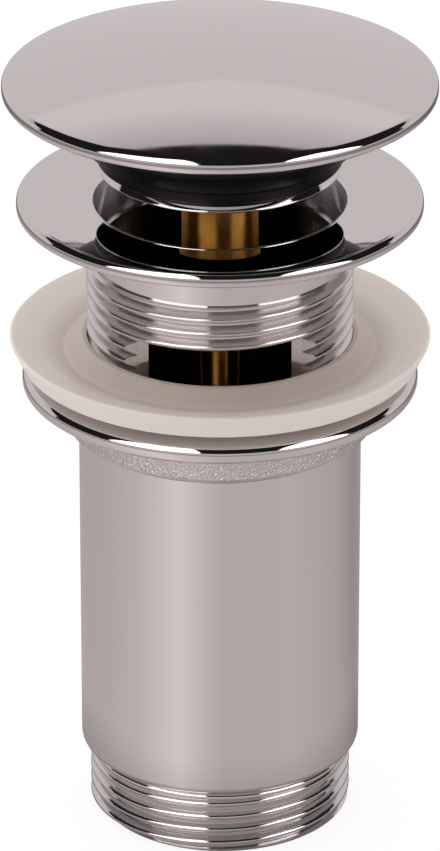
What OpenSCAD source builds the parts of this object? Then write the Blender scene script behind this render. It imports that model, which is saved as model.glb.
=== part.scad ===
// Pop up basin waste: push plug on a spring loaded sleeve, flanged slotted
// waste body, backing gasket and screwed tailpiece.
// Millimetres, +Z up, the outlet end of the tailpiece stands on z = 0.

/* [Outlet tailpiece] */
// Step from the polished tube in to the outlet thread
outlet_step = 1.39; // [0.6:0.01:2.6]
// Length of the outlet thread
outlet_thread_len = 11; // [8:0.1:16]
// Wall of the outlet inside its thread crests
outlet_wall = 3.055; // [2:0.005:6]
// Lead in chamfer on the outlet thread
outlet_chamfer = 0.8; // [0.3:0.1:1.5]
// Wall of the polished tube around the screw socket
tail_wall = 1.3; // [0.9:0.05:3]
// Length of the polished tube
tail_tube_len = 55.5; // [48:0.1:90]
// Radius of the rounding at the lower end of the tube
tail_end_round = 1.3; // [1:0.1:3]
// Length of the screw socket in the top of the tailpiece
socket_len = 36.6; // [34:0.1:44]
// Ledge left below the screw socket
socket_ledge = 1.3; // [0.8:0.1:2]
// Wall of the tube end above the outlet thread, inside
outlet_floor_len = 3.5; // [2:0.1:6]

/* [Tailpiece flange] */
// Step of the cast collar outside the tube
collar_step = 2.15; // [1:0.05:4]
// Height of the cast collar
collar_len = 6.9; // [4:0.1:9]
// Draft of the collar over its height
collar_draft = 0.8; // [0:0.1:1.5]
// Break of the collar's lower edge
collar_edge = 0.3; // [0.1:0.05:0.6]
// Radius of the flange under the gasket
tail_flange_r = 31.2; // [29:0.1:36]
// Thickness of the flange under the gasket
tail_flange_t = 4.9; // [4:0.1:8]
// Rounding of the flange rim above
tail_rim_top = 2.2; // [1.5:0.1:3]
// Rounding of the flange rim below
tail_rim_low = 1.2; // [1:0.1:2]

/* [Backing gasket] */
// Outer radius of the gasket
gasket_r = 33.1; // [30:0.1:37]
// Height of the outer lip above the seat
gasket_lip_h = 4.3; // [3:0.1:6]
// Height of the inner rim above the seat
gasket_rim_h = 4; // [3:0.1:6]
// Width of the inner rim
gasket_rim_w = 0.9; // [0.6:0.1:1.5]
// Distance from the hole to the groove between rim and lip
gasket_groove_w = 3.6; // [2.5:0.1:5]
// Thickness of the gasket under the groove
gasket_floor = 1.5; // [1:0.1:2.2]
// Rounding of the outer lip
gasket_round = 0.9; // [0.5:0.1:1.4]
// Undercut of the gasket's outer edge
gasket_undercut = 0.7; // [0.3:0.1:2]
// Height of the overhanging outer edge above the seat
gasket_edge_h = 0.5; // [0.3:0.1:1.6]
// Width of the sloping part under the outer edge
gasket_slope_w = 3.2; // [2:0.1:5]

/* [Waste body] */
// Outer radius of the body thread
body_thread_r = 20.955; // [20:0.005:23]
// Distance from flange underside to the lower end of the body
body_len = 42; // [42:0.1:52]
// Distance from flange underside to the start of the thread
neck_len = 8.3; // [6:0.1:12]
// Step from the thread crests in to the plain neck
neck_step = 1.155; // [0.4:0.005:1.4]
// Radius of the bell under the flange
bell_r = 4.6; // [2:0.1:5.5]
// Chamfer at both ends of the thread
thread_chamfer = 0.8; // [0.3:0.1:1]
// Wall of the body inside its thread crests
body_wall = 2.455; // [2.2:0.005:4]
// Thickness of the wall opening between basin seat and gasket lip
clamp_gap = 20.8; // [14:0.1:26]

/* [Basin flange and throat] */
// Radius of the basin flange
flange_r = 31.8; // [29:0.1:38]
// Thickness of the basin flange at its rim
flange_t = 2.3; // [1.9:0.1:4]
// Rounding of the rim above
flange_round_top = 1.1; // [0.5:0.1:1.2]
// Rounding of the rim below
flange_round_low = 0.7; // [0.3:0.1:0.7]
// Fall of the flange top from rim to throat
flange_dish = 0.9; // [0.4:0.05:1.6]
// Flare of the throat up to the edge that the plug seals on
throat_flare = 0.9; // [0.5:0.02:1.6]
// Width of the step that the throat narrows by
throat_step = 0.4; // [0.2:0.1:0.6]
// Depth of the tapered part of the throat
throat_taper_len = 4.6; // [3:0.1:6]
// Depth of the ledge below the throat edge
throat_ledge_depth = 7.1; // [6.5:0.1:9]

/* [Overflow windows] */
// Depth of the milled flat inside the waterway radius
flat_depth = 3.7; // [1.5:0.1:4.5]
// Distance from flange underside to the top of the window
window_drop = 15.6; // [14:0.1:20]
// Height of the window
window_h = 12.5; // [8:0.1:14]

/* [Spider] */
// Number of spider arms
arm_count = 4; // [3:1:6]
// Thickness of a spider arm
arm_t = 3; // [2:0.1:4]
// Height of a spider arm
arm_h = 4.2; // [3.5:0.1:8]
// Height of the hub above the arms
hub_rise = 0.6; // [0.3:0.1:2]
// Height of the spider above the lower end of the body
arm_lift = 1; // [0.9:0.1:4]
// Radius of the spider hub
hub_r = 6.2; // [5:0.1:8]

/* [Guide rod and nut] */
// Radius of the threaded rod
rod_r = 3; // [2.8:0.05:3.2]
// Length of rod below the spider
rod_tail = 0.8; // [0.5:0.1:2]
// Height of the rotor shoulder above the guide bush with the plug up
shoulder_rise = 0.45; // [0.3:0.05:2]
// Radius of the journal that carries the rotor
journal_r = 2; // [1.6:0.05:2.1]
// Length of the rod tip above the clip, inside the spring
rod_tip = 1.8; // [1:0.1:3]
// Lead in chamfer on both rod ends
rod_lead = 0.5; // [0.2:0.1:0.8]
// Size across the flats of the lock nut
nut_af = 10; // [9:0.5:11]
// Height of the lock nut
nut_h = 3; // [2:0.1:3.2]
// Height of the chamfer on the corners of the nut
nut_chamfer = 0.6; // [0.3:0.1:0.9]

/* [Rotor] */
// Height of the rotor
rotor_h = 3; // [2.6:0.1:3.2]
// Radius of the rotor hub
rotor_hub_r = 3.2; // [3:0.05:3.25]
// Radial play of the rotor wings in the latch ring
wing_play = 0.18; // [0.1:0.02:0.4]
// Number of wings, ribs and pairs of crown teeth
index_count = 4; // [3:1:4]
// Angle that one wing spans
wing_angle = 30; // [20:1:34]
// Slope of the wing tops
wing_rise = 0.8; // [0.4:0.1:1.2]
// Drop of the wings below the top of the rotor hub
wing_drop = 0.4; // [0.2:0.1:0.8]
// Thickness of the clip above the rotor
clip_t = 0.8; // [0.6:0.05:1]
// Step from the rotor hub in to the rim of the clip
clip_step = 0.1; // [0.05:0.05:0.4]
// Depth of the clip groove in the rod
clip_groove = 0.4; // [0.3:0.05:0.6]
// Width of the slot in the clip
clip_slot = 2; // [1:0.1:2.5]

/* [Plunger sleeve] */
// Wall of the sleeve
sleeve_wall = 1; // [0.6:0.05:2]
// Bore radius of the sleeve
sleeve_bore_r = 5; // [4.8:0.05:5.2]
// Gap from the lock nut to the sleeve with the plug pressed home
sleeve_gap = 3.35; // [0.4:0.05:5]
// Lead in chamfer on the sleeve end and the stud
sleeve_lead = 0.5; // [0.2:0.1:0.8]
// Thickness of the closed end of the sleeve
sleeve_end_t = 1.6; // [1.2:0.1:3]
// Radius of the stud that screws into the cap
stud_r = 4; // [3:0.1:5]
// Length of the stud above the sleeve
stud_len = 10; // [8:0.1:12]
// Height of the guide bush in the lower end of the sleeve
bush_h = 3.5; // [2.5:0.1:3.6]
// Gap from the rotor to the latch ring at each end of the travel
latch_gap = 0.4; // [0.3:0.05:0.8]
// Wall of the latch ring between its ribs
latch_wall = 0.55; // [0.4:0.05:0.6]
// Radial play of the rotor hub between the latch ribs
rib_play = 0.25; // [0.15:0.05:0.4]
// Angle that one rib spans
rib_angle = 40; // [34:1:44]
// Slope of the rib ends
rib_rise = 0.7; // [0.4:0.1:1]
// Height of the crown
crown_h = 3.8; // [3:0.1:5]
// Gap from the rotor to the crown teeth with the plug pressed home
crown_gap = 0.6; // [0.4:0.1:1.5]
// Height of the crown teeth
crown_tooth = 1.2; // [0.8:0.1:1.6]
// Radial play of the rotor hub in the crown
crown_play = 0.3; // [0.2:0.05:0.6]

/* [Return spring] */
// Radius of the spring wire
wire_r = 0.4; // [0.3:0.05:0.45]
// Radial play of the coil round the rod tip
coil_play = 0.15; // [0.1:0.05:0.3]
// Number of open coils
coil_open = 7; // [5:1:8]
// Play at each end of the spring
spring_play = 0.05; // [0.02:0.01:0.2]
// Gap between the closed turns at the spring ends
shut_gap = 0.02; // [0.01:0.01:0.1]

/* [Plug] */
// Travel of the plug from up to pressed home
stroke = 9.1; // [8.6:0.1:10]
// Height of the retainer above the throat edge with the plug up
plug_lift = 6.2; // [6:0.1:10]
// Step from the seal foot in to the rim of the retainer
retainer_step = 0.1; // [0:0.1:2]
// Thickness of the seal retainer
retainer_t = 0.9; // [0.6:0.1:1.2]
// Thickness of the seal web
seal_web_t = 2; // [1.5:0.1:3]
// Radial play of the seal foot in the throat
seal_play = 0.5; // [0.2:0.1:1]
// Flare of the seal from foot to lip
seal_flare = 4.8; // [3.6:0.1:5.6]
// Height of the seal from foot to lip
seal_h = 7.5; // [6:0.1:8]
// Thickness of the seal lip
seal_lip_t = 1.7; // [1:0.1:2]
// Height of the upright foot of the seal
seal_foot_h = 0.7; // [0.5:0.1:1]
// Break of the seal's lower edge
seal_edge = 0.3; // [0.1:0.05:0.4]
// Width of the root of the seal lip on the web
seal_root_w = 1.19; // [0.8:0.01:2]
// Angle that the rounded lip leans outwards by
seal_lean = 35; // [20:1:50]
// Height from the seal web to the lower edge of the cap
cap_stand = 9.1; // [9:0.1:14]
// Radius of the cap
cap_r = 33.85; // [31:0.05:40]
// Height of the cap rim above its lower edge, to the dome
cap_rim_h = 2.35; // [2:0.05:5]
// Rise of the dome above the rim
cap_rise = 3.7; // [2:0.1:6]
// Rounding of the rim above
cap_round_top = 1.2; // [0.8:0.1:2.2]
// Rounding of the rim below
cap_round_low = 1.15; // [0.3:0.05:1.2]
// Wall of the cap
cap_wall = 1.8; // [1.2:0.1:2.2]
// Step from the seal foot in to the ring wall that presses on the seal
ring_wall_step = 2.4; // [2:0.1:5]
// Thickness of the ring wall
ring_wall_t = 2; // [1.2:0.1:3]
// Radius of the cap hub around the stud
cap_hub_r = 7.5; // [6.5:0.1:9]

/* [Fits] */
// Radial play of the screwed joint between body and tailpiece
screw_play = 0.09; // [0.05:0.01:0.1]
// Radial play of the gasket on the body thread
gasket_play = 0.25; // [0.2:0.05:0.5]
// Radial play of running fits
run_play = 0.06; // [0.03:0.01:0.1]
// Radial play of parts pressed or screwed together
press_play = 0.02; // [0.01:0.01:0.05]
// End play of the rotor on its journal
rotor_play = 0.15; // [0.1:0.05:0.25]
// Depth of the cap's bore beyond the end of the stud
stud_play = 0.8; // [0.3:0.1:1.5]

/* [Hidden] */
$fn = 96;

// Tailpiece radii and levels
socket_r = body_thread_r + screw_play;
tail_r = socket_r + tail_wall;
mid_bore_r = socket_r - socket_ledge;
outlet_thread_r = tail_r - outlet_step;
outlet_bore_r = outlet_thread_r - outlet_wall;
collar_r = tail_r + collar_step;
collar_z = outlet_thread_len + tail_tube_len;
tail_flange_z = collar_z + collar_len;
seat_z = tail_flange_z + tail_flange_t;

// Waste body radii and levels
gasket_hole_r = body_thread_r + gasket_play;
gasket_groove_r = gasket_hole_r + gasket_groove_w;
neck_r = body_thread_r - neck_step;
body_bore_r = body_thread_r - body_wall;
throat_low_r = body_bore_r + throat_step;
throat_r = throat_low_r + throat_flare;
flat_d = body_bore_r - flat_depth;
under_z = seat_z + gasket_lip_h + clamp_gap;
rim_z = under_z + flange_t;
throat_z = rim_z - flange_dish;
ledge_z = throat_z - throat_ledge_depth;
body_z = under_z - body_len;
window_z = under_z - window_drop - window_h;
hub_z = body_z + arm_lift;
hub_h = arm_h + hub_rise;
hub_top_z = hub_z + hub_h;

// Rod and rotor levels
sleeve_z = hub_top_z + nut_h + sleeve_gap + stroke;
shoulder_z = sleeve_z + bush_h + shoulder_rise;
rotor_z = shoulder_z + rotor_play;
clip_z = rotor_z + rotor_h + rotor_play;
clip_top_z = clip_z + clip_t;
latch_z = rotor_z + rotor_h + latch_gap;
latch_h = stroke - rotor_h - 2 * latch_gap;
crown_z = rotor_z + rotor_h + stroke + crown_gap;

// Plug radii and levels
seal_foot_r = throat_low_r - seal_play;
seal_lip_r = seal_foot_r + seal_flare;
retainer_r = seal_foot_r - retainer_step;
ring_wall_r = seal_foot_r - ring_wall_step;
retainer_z = throat_z + plug_lift;
web_z = retainer_z + retainer_t;
web_top_z = web_z + seal_web_t;
cap_z = web_top_z + cap_stand;
cap_shoulder_z = cap_z + cap_rim_h;
stud_z = retainer_z + stud_len;
sleeve_top_in = retainer_z - sleeve_end_t;

// Radii inside the sleeve
sleeve_r = sleeve_bore_r + sleeve_wall;
insert_r = sleeve_bore_r - press_play;
wing_r = insert_r - latch_wall - wing_play;
rib_r = rotor_hub_r + rib_play;
crown_r = rotor_hub_r + crown_play;
clip_r = rotor_hub_r - clip_step;
coil_r = journal_r + coil_play + wire_r;

// Radius of the sphere through the dome edge and the crown of the dome
dome_edge_r = cap_r - cap_round_top;
dome_r = (dome_edge_r * dome_edge_r + cap_rise * cap_rise) / (2 * cap_rise);
dome_cz = cap_shoulder_z + cap_rise - dome_r;

// Sides of the wire section and steps in one turn of the coil
wire_sides = 8;
turn_steps = 20;

// Overshoot of cutting tools and overlap of pieces fused in one solid
over = 1;
weld = 0.4;

// Points along an arc, angles in degrees from the radial direction
function arc(r0, z0, r, a0, a1, n = 8) =
    [for (i = [0:n]) [r0 + r * cos(a0 + (a1 - a0) * i / n), z0 + r * sin(a0 + (a1 - a0) * i / n)]];

// Solid turned from a half section of radius and height pairs
module turned(points) {
    rotate_extrude() polygon(points);
}

// Plain ring
module ring(r_out, r_in, h) {
    difference() {
        cylinder(r = r_out, h = h);
        translate([0, 0, -over]) cylinder(r = r_in, h = h + 2 * over);
    }
}

// Part of a ring centred on +X
module ring_sector(r_out, r_in, h, angle) {
    rotate([0, 0, -angle / 2])
        rotate_extrude(angle = angle)
            translate([r_in, 0])
                square([r_out - r_in, h]);
}

// Wedge that cuts a ramp across a sector on +X, rising along +Y
module ramp_cut(r_out, width, rise) {
    rotate([90, 0, 90])
        linear_extrude(height = r_out + over)
            polygon([[-width / 2, 0], [width / 2, rise],
                     [width / 2, rise + over], [-width / 2, rise + over]]);
}

// Domed push cap with a rolled rim, a ring wall on the seal and a threaded hub
module cap() {
    in_r = cap_r - cap_wall;
    roof_r = dome_r - cap_wall;
    roof_a = acos(in_r / roof_r);
    edge_a = acos(dome_edge_r / dome_r);
    bore_top = stud_z + stud_play;
    color("gainsboro")
    difference() {
        union() {
            turned(concat(
                [[in_r, cap_z], [cap_r - cap_round_low, cap_z]],
                arc(cap_r - cap_round_low, cap_z + cap_round_low, cap_round_low, -90, 0, 6),
                arc(dome_edge_r, cap_shoulder_z - cap_round_top, cap_round_top, 0, edge_a, 10),
                arc(0, dome_cz, dome_r, edge_a, 90, 20),
                arc(0, dome_cz, roof_r, 90, roof_a, 16)));
            intersection() {
                union() {
                    translate([0, 0, web_top_z])
                        ring(ring_wall_r, ring_wall_r - ring_wall_t, dome_r);
                    translate([0, 0, web_top_z])
                        cylinder(r = cap_hub_r, h = dome_r);
                }
                turned(concat([[0, cap_z - 2 * cap_stand], [cap_r, cap_z - 2 * cap_stand]],
                    arc(0, dome_cz, dome_r - cap_wall / 2, edge_a, 90, 20)));
            }
        }
        translate([0, 0, web_top_z - over])
            cylinder(r = stud_r + press_play, h = bore_top - web_top_z + over);
    }
}

// Cup shaped rubber seal: flat web under the cap and a flared lip
module plug_seal() {
    lip_z = web_z + seal_h;
    tip_r = seal_lip_t / 2;
    color("dimgray")
    turned(concat(
        [[stud_r + press_play, web_z], [seal_foot_r - seal_edge, web_z], [seal_foot_r, web_z + seal_edge],
         [seal_foot_r, web_z + seal_foot_h]],
        arc(seal_lip_r - tip_r, lip_z - tip_r, tip_r, -seal_lean, 180 - seal_lean, 8),
        [[seal_foot_r - seal_root_w, web_top_z], [stud_r + press_play, web_top_z]]));
}

// Plated washer that holds the seal from below
module seal_retainer() {
    color("gainsboro")
    turned(concat(
        [[stud_r + press_play, retainer_z]],
        arc(retainer_r - retainer_t / 2, retainer_z + retainer_t / 2, retainer_t / 2, -90, 90, 8),
        [[stud_r + press_play, web_z]]));
}

// Plunger sleeve, closed above, with the stud that carries the cap
module sleeve() {
    color("goldenrod")
    turned([[sleeve_bore_r, sleeve_z], [sleeve_r - sleeve_lead, sleeve_z],
            [sleeve_r, sleeve_z + sleeve_lead], [sleeve_r, retainer_z],
            [stud_r, retainer_z], [stud_r, stud_z - sleeve_lead],
            [stud_r - sleeve_lead, stud_z], [0, stud_z], [0, sleeve_top_in],
            [sleeve_bore_r, sleeve_top_in]]);
}

// Crown of teeth that turns the rotor at the end of each push
module crown() {
    tooth_count = 2 * index_count;
    pitch = 2 * PI * sleeve_bore_r / tooth_count;
    color("ivory")
    translate([0, 0, crown_z])
    difference() {
        ring(insert_r, crown_r, crown_h);
        for (i = [0:tooth_count - 1])
            rotate([0, 0, (i + 0.5) * 360 / tooth_count])
                translate([0, 0, crown_tooth])
                    mirror([0, 0, 1])
                        ramp_cut(sleeve_bore_r, pitch, crown_tooth);
    }
}

// Ring with ribs that the rotor wings pass between or hook over
module latch_ring() {
    width = 2 * insert_r * sin(rib_angle / 2) + weld;
    color("ivory")
    translate([0, 0, latch_z]) {
        ring(insert_r, insert_r - latch_wall, latch_h);
        for (i = [0:index_count - 1])
            rotate([0, 0, (i + 0.5) * 360 / index_count])
                difference() {
                    ring_sector(insert_r - latch_wall / 2, rib_r, latch_h, rib_angle);
                    translate([0, 0, latch_h - rib_rise])
                        ramp_cut(insert_r - latch_wall, width, rib_rise);
                }
    }
}

// Bush in the sleeve end that runs on the rod
module guide_bush() {
    color("ivory")
    translate([0, 0, sleeve_z])
        ring(insert_r, rod_r + run_play, bush_h);
}

// Turned outside and waterway of the waste body, before milling
module body_blank() {
    bell_z = under_z - bell_r;
    thread_top = under_z - neck_len;
    turned(concat(
        [[body_bore_r, body_z], [body_thread_r - thread_chamfer, body_z],
         [body_thread_r, body_z + thread_chamfer],
         [body_thread_r, thread_top - thread_chamfer],
         [neck_r, thread_top]],
        arc(neck_r + bell_r, bell_z, bell_r, 180, 90, 8),
        arc(flange_r - flange_round_low, under_z + flange_round_low, flange_round_low, -90, 0, 5),
        arc(flange_r - flange_round_top, rim_z - flange_round_top, flange_round_top, 0, 90, 8),
        [[throat_r, throat_z], [throat_low_r, throat_z - throat_taper_len],
         [throat_low_r, ledge_z], [body_bore_r, ledge_z]]));
}

// Arm of the spider with a rounded upper edge, lying along +X
module spider_arm() {
    reach = body_bore_r + (neck_r - body_bore_r) / 4;
    rotate([90, 0, 90])
        linear_extrude(height = reach)
            polygon(concat([[-arm_t / 2, 0], [arm_t / 2, 0]],
                arc(0, arm_h - arm_t / 2, arm_t / 2, 0, 180, 8)));
}

// Flanged waste body with two milled overflow windows and the spider
module waste_body() {
    cut_w = 2 * (body_thread_r + over);
    color("silver")
    difference() {
        union() {
            difference() {
                body_blank();
                for (side = [0, 180])
                    rotate([0, 0, side])
                        translate([-cut_w / 2, -cut_w / 2, window_z])
                            cube([cut_w, cut_w / 2 - flat_d, window_h]);
            }
            translate([0, 0, hub_z]) {
                cylinder(r = hub_r, h = hub_h);
                for (i = [0:arm_count - 1])
                    rotate([0, 0, (i + 0.5) * 360 / arm_count])
                        spider_arm();
            }
        }
        translate([0, 0, hub_z - over])
            cylinder(r = rod_r + press_play, h = hub_h + 2 * over);
    }
}

// Rod that stands on the spider, with the rotor journal and clip groove
module guide_rod() {
    groove_r = journal_r - clip_groove;
    foot_z = hub_z - rod_tail;
    tip_z = clip_top_z + rod_tip;
    color("goldenrod")
    turned([[0, foot_z], [rod_r - rod_lead, foot_z], [rod_r, foot_z + rod_lead],
            [rod_r, shoulder_z], [journal_r, shoulder_z], [journal_r, clip_z], [groove_r, clip_z],
            [groove_r, clip_top_z], [journal_r, clip_top_z], [journal_r, tip_z - rod_lead],
            [journal_r - rod_lead, tip_z], [0, tip_z]]);
}

// Hexagon nut that locks the rod on the spider
module rod_lock_nut() {
    corner_r = nut_af / 2 / cos(30);
    color("goldenrod")
    translate([0, 0, hub_top_z])
    difference() {
        intersection() {
            cylinder(r = corner_r, h = nut_h, $fn = 6);
            turned([[0, 0], [nut_af / 2, 0], [corner_r, nut_chamfer], [corner_r, nut_h - nut_chamfer],
                    [nut_af / 2, nut_h], [0, nut_h]]);
        }
        translate([0, 0, -over]) cylinder(r = rod_r + press_play, h = nut_h + 2 * over);
    }
}

// Open clip that keeps the rotor on its journal
module rotor_clip() {
    groove_r = journal_r - clip_groove;
    color("silver")
    translate([0, 0, clip_z])
    difference() {
        ring(clip_r, groove_r + press_play, clip_t);
        translate([0, -clip_slot / 2, -over]) cube([clip_r + over, clip_slot, clip_t + 2 * over]);
    }
}

// Winged rotor that the crown turns a step at each push
module rotor() {
    wing_h = rotor_h - wing_drop;
    width = 2 * wing_r * sin(wing_angle / 2) + weld;
    color("ivory")
    translate([0, 0, rotor_z]) {
        ring(rotor_hub_r, journal_r + run_play, rotor_h);
        for (i = [0:index_count - 1])
            rotate([0, 0, i * 360 / index_count])
                difference() {
                    ring_sector(wing_r, rotor_hub_r - weld, wing_h, wing_angle);
                    translate([0, 0, wing_h - wing_rise])
                        ramp_cut(wing_r, width, wing_rise);
                }
    }
}

// Height of the wire centre along the coil, with a closed turn at each end
function coil_z(t, z0, z1) =
    let (turns = coil_open + 2, lo = z0 + wire_r, hi = z1 - wire_r, shut = 2 * wire_r + shut_gap)
    t <= 1 ? lo + shut * t
    : t >= turns - 1 ? hi - shut * (turns - t)
    : lo + shut + (hi - lo - 2 * shut) * (t - 1) / (turns - 2);

// Compression spring between the clip and the closed end of the sleeve
module return_spring() {
    z0 = clip_top_z + spring_play;
    z1 = sleeve_top_in - spring_play;
    steps = (coil_open + 2) * turn_steps;
    points = [for (i = [0:steps])
        let (t = i / turn_steps, a = 360 * t, zc = coil_z(t, z0, z1))
        for (j = [0:wire_sides - 1])
            let (b = 360 * j / wire_sides, r = coil_r + wire_r * cos(b))
            [r * cos(a), r * sin(a), zc + wire_r * sin(b)]];
    sides = [for (i = [0:steps - 1], j = [0:wire_sides - 1])
        let (k = (j + 1) % wire_sides)
        [i * wire_sides + k, (i + 1) * wire_sides + k, (i + 1) * wire_sides + j, i * wire_sides + j]];
    first = [for (j = [wire_sides - 1:-1:0]) j];
    last = [for (j = [0:wire_sides - 1]) steps * wire_sides + j];
    color("lightsteelblue")
    polyhedron(points = points, faces = concat(sides, [first], [last]), convexity = 10);
}

// White gasket with an inner rim on the thread and a raised outer lip
module backing_gasket() {
    lip_z = seat_z + gasket_lip_h;
    edge_z = seat_z + gasket_edge_h;
    color("linen")
    turned(concat(
        [[gasket_hole_r, seat_z], [gasket_r - gasket_undercut - gasket_slope_w, seat_z],
         [gasket_r - gasket_undercut, edge_z]],
        arc(gasket_r - gasket_round, lip_z - gasket_round, gasket_round, 0, 110, 8),
        [[gasket_groove_r, seat_z + gasket_floor],
         [gasket_hole_r + gasket_rim_w, seat_z + gasket_rim_h],
         [gasket_hole_r, seat_z + gasket_rim_h]]));
}

// Tailpiece: outlet thread, polished tube, cast collar, flange and screw socket
module tailpiece() {
    round_z = outlet_thread_len + tail_end_round;
    overlap = outlet_thread_r - tail_r + tail_end_round;
    round_a = acos(max(overlap, 0) / tail_end_round);
    bevel = collar_step / 2;
    socket_z = seat_z - socket_len;
    floor_z = outlet_thread_len + outlet_floor_len;
    color("silver")
    turned(concat(
        [[outlet_bore_r, 0], [outlet_thread_r - outlet_chamfer, 0], [outlet_thread_r, outlet_chamfer]],
        overlap > 0 ? [] : [[outlet_thread_r, outlet_thread_len]],
        arc(tail_r - tail_end_round, round_z, tail_end_round, -round_a, 0, 8),
        [[tail_r, collar_z], [collar_r - collar_edge, collar_z + bevel],
         [collar_r, collar_z + bevel + collar_edge], [collar_r + collar_draft, tail_flange_z]],
        arc(tail_flange_r - tail_rim_low, tail_flange_z + tail_rim_low, tail_rim_low, -90, 0, 6),
        arc(tail_flange_r - tail_rim_top, seat_z - tail_rim_top, tail_rim_top, 0, 90, 8),
        [[socket_r, seat_z], [socket_r, socket_z], [mid_bore_r, socket_z - socket_ledge],
         [mid_bore_r, floor_z + mid_bore_r - outlet_bore_r], [outlet_bore_r, floor_z]]));
}

cap();
plug_seal();
seal_retainer();
sleeve();
crown();
latch_ring();
guide_bush();
waste_body();
guide_rod();
rod_lock_nut();
rotor_clip();
return_spring();
rotor();
backing_gasket();
tailpiece();
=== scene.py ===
"""Pop up basin waste: turned, threaded and plated pieces on the solid frame, with a studio stage."""
import math

import bpy
from bpy.props import FloatProperty, FloatVectorProperty, IntProperty, PointerProperty
from bpy.types import Operator, Panel, PropertyGroup
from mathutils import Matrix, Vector


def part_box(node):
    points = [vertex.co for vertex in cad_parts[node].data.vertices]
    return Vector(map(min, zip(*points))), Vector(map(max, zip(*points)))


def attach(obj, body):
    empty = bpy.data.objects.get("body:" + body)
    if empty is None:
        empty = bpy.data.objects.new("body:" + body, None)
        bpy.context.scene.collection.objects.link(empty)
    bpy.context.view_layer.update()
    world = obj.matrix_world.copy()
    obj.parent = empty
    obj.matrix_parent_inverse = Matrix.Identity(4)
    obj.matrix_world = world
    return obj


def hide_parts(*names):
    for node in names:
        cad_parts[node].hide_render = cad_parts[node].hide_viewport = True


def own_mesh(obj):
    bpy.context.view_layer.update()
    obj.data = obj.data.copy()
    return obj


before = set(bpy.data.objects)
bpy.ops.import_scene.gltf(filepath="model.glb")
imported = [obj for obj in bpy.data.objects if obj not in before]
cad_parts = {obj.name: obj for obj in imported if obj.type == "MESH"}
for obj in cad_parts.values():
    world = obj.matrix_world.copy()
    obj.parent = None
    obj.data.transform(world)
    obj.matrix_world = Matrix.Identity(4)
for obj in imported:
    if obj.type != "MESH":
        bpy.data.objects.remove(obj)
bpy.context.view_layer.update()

bl_info = {
    "name": "Pop up basin waste",
    "version": (1, 0, 0),
    "blender": (4, 5, 0),
    "location": "3D View > Sidebar > Basin waste",
    "description": "Models and finishes a pop up basin waste on its solid frame",
    "category": "Object",
}

# Heights and radii that the frame gives, in metres
CAP_LOW, CAP_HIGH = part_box("cap")
SEAL_LOW, SEAL_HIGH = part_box("plug_seal")
RETAINER_LOW, RETAINER_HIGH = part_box("seal_retainer")
SLEEVE_LOW, SLEEVE_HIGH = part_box("sleeve")
BODY_LOW, BODY_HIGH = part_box("waste_body")
ROD_LOW, ROD_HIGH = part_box("guide_rod")
NUT_LOW, NUT_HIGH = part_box("rod_lock_nut")
CLIP_LOW, CLIP_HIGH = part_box("rotor_clip")
SPRING_LOW, SPRING_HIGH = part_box("return_spring")
GASKET_LOW, GASKET_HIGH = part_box("backing_gasket")
TAIL_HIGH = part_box("tailpiece")[1]

# Play that keeps two surfaces apart, and the margin for picking faces by their place, in metres
HAIR = 0.00002
MARGIN = 0.0001


def length(name, default, description):
    """A length in metres that a user may change."""
    return FloatProperty(name=name, description=description, default=default, min=0.0,
                         unit="LENGTH", precision=5)


def number(name, default, description):
    """A plain number that a user may change."""
    return FloatProperty(name=name, description=description, default=default)


def colour(name, default, description):
    """A linear colour that a user may change."""
    return FloatVectorProperty(name=name, description=description, default=default, min=0.0, max=1.0,
                               size=3, subtype="COLOR")


def linear(hex_code):
    """Linear colour of an sRGB hex code."""
    channels = [int(hex_code[i:i + 2], 16) / 255 for i in (0, 2, 4)]
    return tuple(c / 12.92 if c <= 0.04045 else ((c + 0.055) / 1.055) ** 2.4 for c in channels)


class PlugSizes(PropertyGroup):
    """Sizes of the cap, seal, retainer and sleeve."""
    rim_height: length("Rim height", 0.0027, "Height of the cap rim from its lower edge to the dome")
    round_top: length("Upper rounding", 0.0012, "Rounding of the cap rim above")
    round_low: length("Lower rounding", 0.00115, "Rounding of the cap rim below")
    stand: length("Cap stand", 0.00875, "Height from the seal web to the lower edge of the cap")
    wall: length("Cap wall", 0.0018, "Wall of the cap")
    ring_wall_r: length("Ring wall radius", 0.016, "Outer radius of the ring wall on the seal")
    ring_wall_t: length("Ring wall thickness", 0.002, "Thickness of the ring wall on the seal")
    hub_r: length("Cap hub radius", 0.0075, "Radius of the threaded hub under the cap")
    stud_r: length("Stud radius", 0.004, "Radius of the stud on the sleeve")
    seal_foot_r: length("Seal foot radius", 0.0192, "Radius of the rubber seal at its lower edge")
    seal_foot_h: length("Seal foot height", 0.0016, "Height of the upright foot of the seal")
    seal_knee_r: length("Seal knee radius", 0.0213, "Radius where the seal turns into its flared lip")
    seal_knee_h: length("Seal knee height", 0.0031, "Height where the seal turns into its flared lip")
    seal_lip_r: length("Seal lip radius", 0.024, "Radius of the flared lip")
    seal_lip_t: length("Seal lip thickness", 0.0017, "Thickness of the flared lip")
    washer_r: length("Washer radius", 0.01885, "Radius of the retainer's turned down rim")
    washer_drop: length("Washer drop", 0.0007, "Drop of the retainer's turned down rim")
    seal_web_t: length("Seal web thickness", 0.002, "Thickness of the flat web of the seal")
    sleeve_bore_r: length("Sleeve bore radius", 0.005, "Bore of the plunger sleeve")
    sleeve_end_t: length("Sleeve end thickness", 0.0016, "Thickness of the closed end of the sleeve")


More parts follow.
